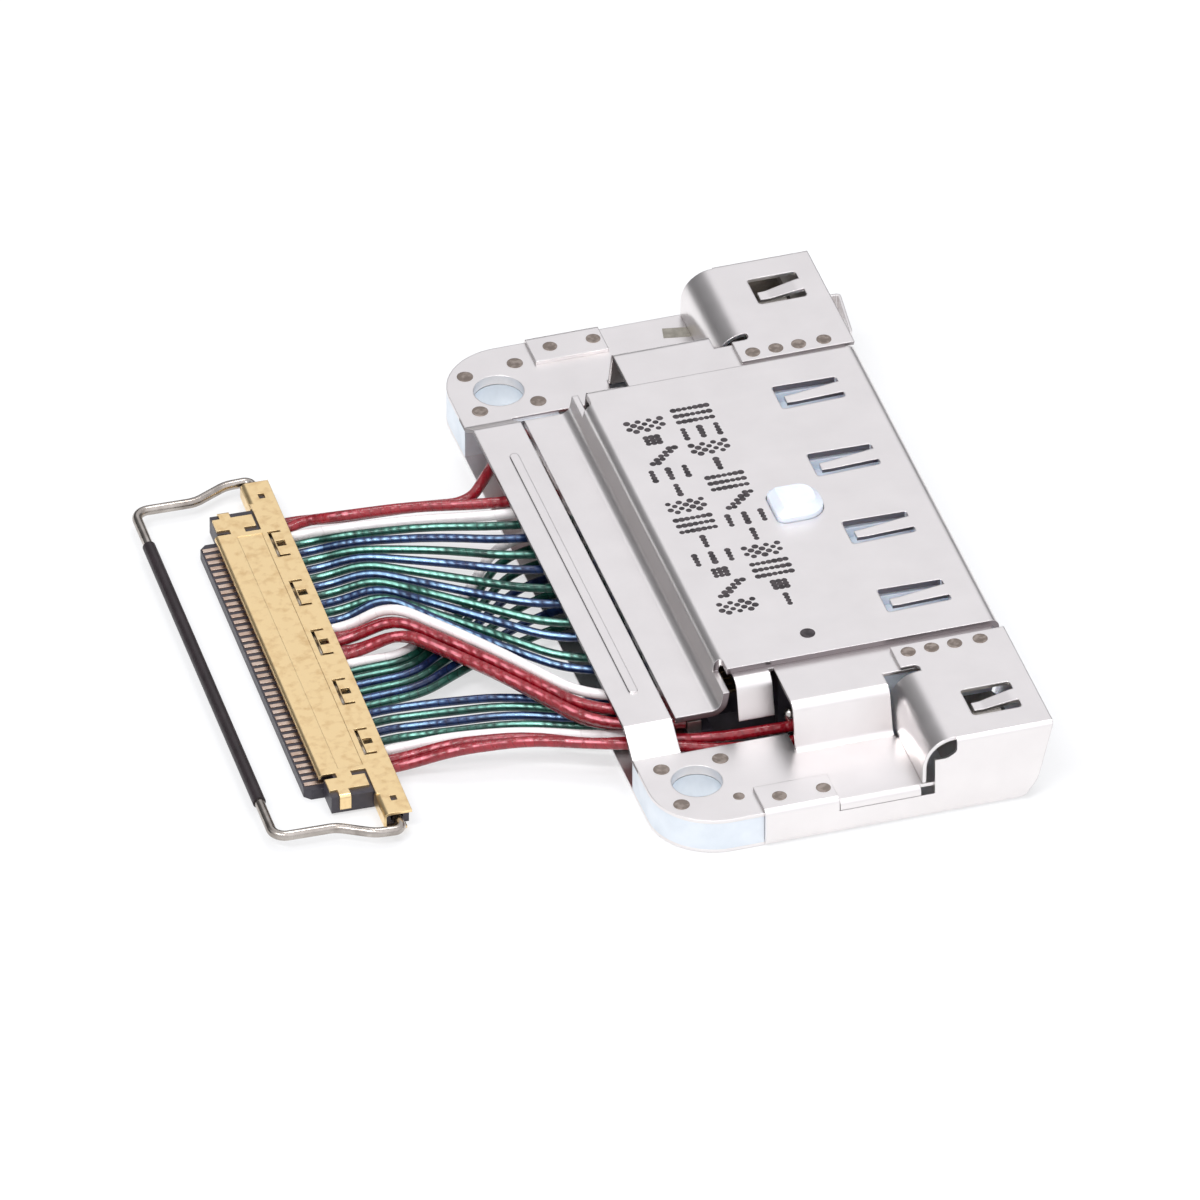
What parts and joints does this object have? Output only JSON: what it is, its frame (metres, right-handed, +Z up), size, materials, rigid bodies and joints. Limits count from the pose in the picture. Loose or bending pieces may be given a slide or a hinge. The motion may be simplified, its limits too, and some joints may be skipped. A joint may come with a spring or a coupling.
{
  "type": "docking and charging port",
  "caption": "Flat docking and charging port with magnetic wings, screw ears, a coloured lead set and a flat cable plug with a wire pull bar.",
  "frame": {"origin": "midway between the two ear holes, on the face that the port rests on", "axes": "+X towards the mating mouth, away from the cable; +Y along the port from one ear to the other; +Z up from the resting face"},
  "size_m": [0.0306, 0.0322, 0.0041],
  "materials": {
    "stamped_steel": "satin stamped stainless sheet",
    "cast_block": "fine matt cast metal",
    "magnet_plate": "nickel plated magnet",
    "tinned_metal": "tin plated",
    "wire_steel": "bright drawn wire",
    "gold_plate": "thin gold flash over nickel",
    "white_plastic": "moulded high temperature plastic",
    "black_plastic": "moulded",
    "black_sleeve": "shrunk sleeve",
    "red_insulation": "glossy insulation",
    "white_insulation": "glossy insulation",
    "green_coax": "glossy clear-coated jacket",
    "blue_coax": "glossy clear-coated jacket"
  },
  "bodies": {
    "port": {"base_shell": "stamped_steel", "upper_shell": "stamped_steel", "cover": "stamped_steel", "insulator": "white_plastic", "rear_holder": "black_plastic", "blade_contacts_upper": "gold_plate", "blade_contacts_lower": "gold_plate", "ear_spacer_far": "cast_block", "ear_spacer_near": "cast_block", "magnet_far": "magnet_plate", "magnet_near": "magnet_plate", "earth_bar_upper": "tinned_metal", "earth_bar_lower": "tinned_metal", "power_terminal_far": "tinned_metal", "power_terminal_near": "tinned_metal", "latch_hook": "stamped_steel", "plug_housing": "black_plastic", "plug_contacts": "gold_plate", "plug_top_shell": "gold_plate", "plug_bottom_shell": "gold_plate", "plug_earth_clamp": "tinned_metal", "lead_coax_lower_01": "green_coax", "lead_coax_lower_02": "green_coax", "lead_coax_lower_03": "blue_coax", "lead_coax_lower_04": "green_coax", "lead_coax_lower_05": "blue_coax", "lead_coax_lower_06": "green_coax", "lead_coax_lower_07": "blue_coax", "lead_coax_lower_08": "green_coax", "lead_coax_lower_09": "blue_coax", "lead_coax_lower_10": "green_coax", "lead_coax_upper_01": "green_coax", "lead_coax_upper_02": "blue_coax", "lead_coax_upper_03": "green_coax", "lead_coax_upper_04": "blue_coax", "lead_coax_upper_05": "green_coax", "lead_coax_upper_06": "blue_coax", "lead_coax_upper_07": "green_coax", "lead_coax_upper_08": "blue_coax", "lead_coax_upper_09": "green_coax", "lead_coax_upper_10": "blue_coax", "lead_red_far_1": "red_insulation", "lead_red_far_2": "red_insulation", "lead_red_middle_1": "red_insulation", "lead_red_middle_2": "red_insulation", "lead_red_middle_3": "red_insulation", "lead_red_middle_4": "red_insulation", "lead_red_near_1": "red_insulation", "lead_red_near_2": "red_insulation", "lead_white_far": "white_insulation", "lead_white_lower": "white_insulation", "lead_white_middle": "white_insulation", "lead_white_near": "white_insulation"},
    "pull_bar": {"pull_bar": "wire_steel", "pull_bar_sleeve": "black_sleeve"}
  },
  "joints": [
    {"name": "pull_bar_hinge", "type": "hinge", "parent": "port", "child": "pull_bar", "pos_m": [-0.01105, 0.00002, 0.00055], "axis": [0.0323, 0.9995, 0], "range_deg": [0, 150]}
  ]
}
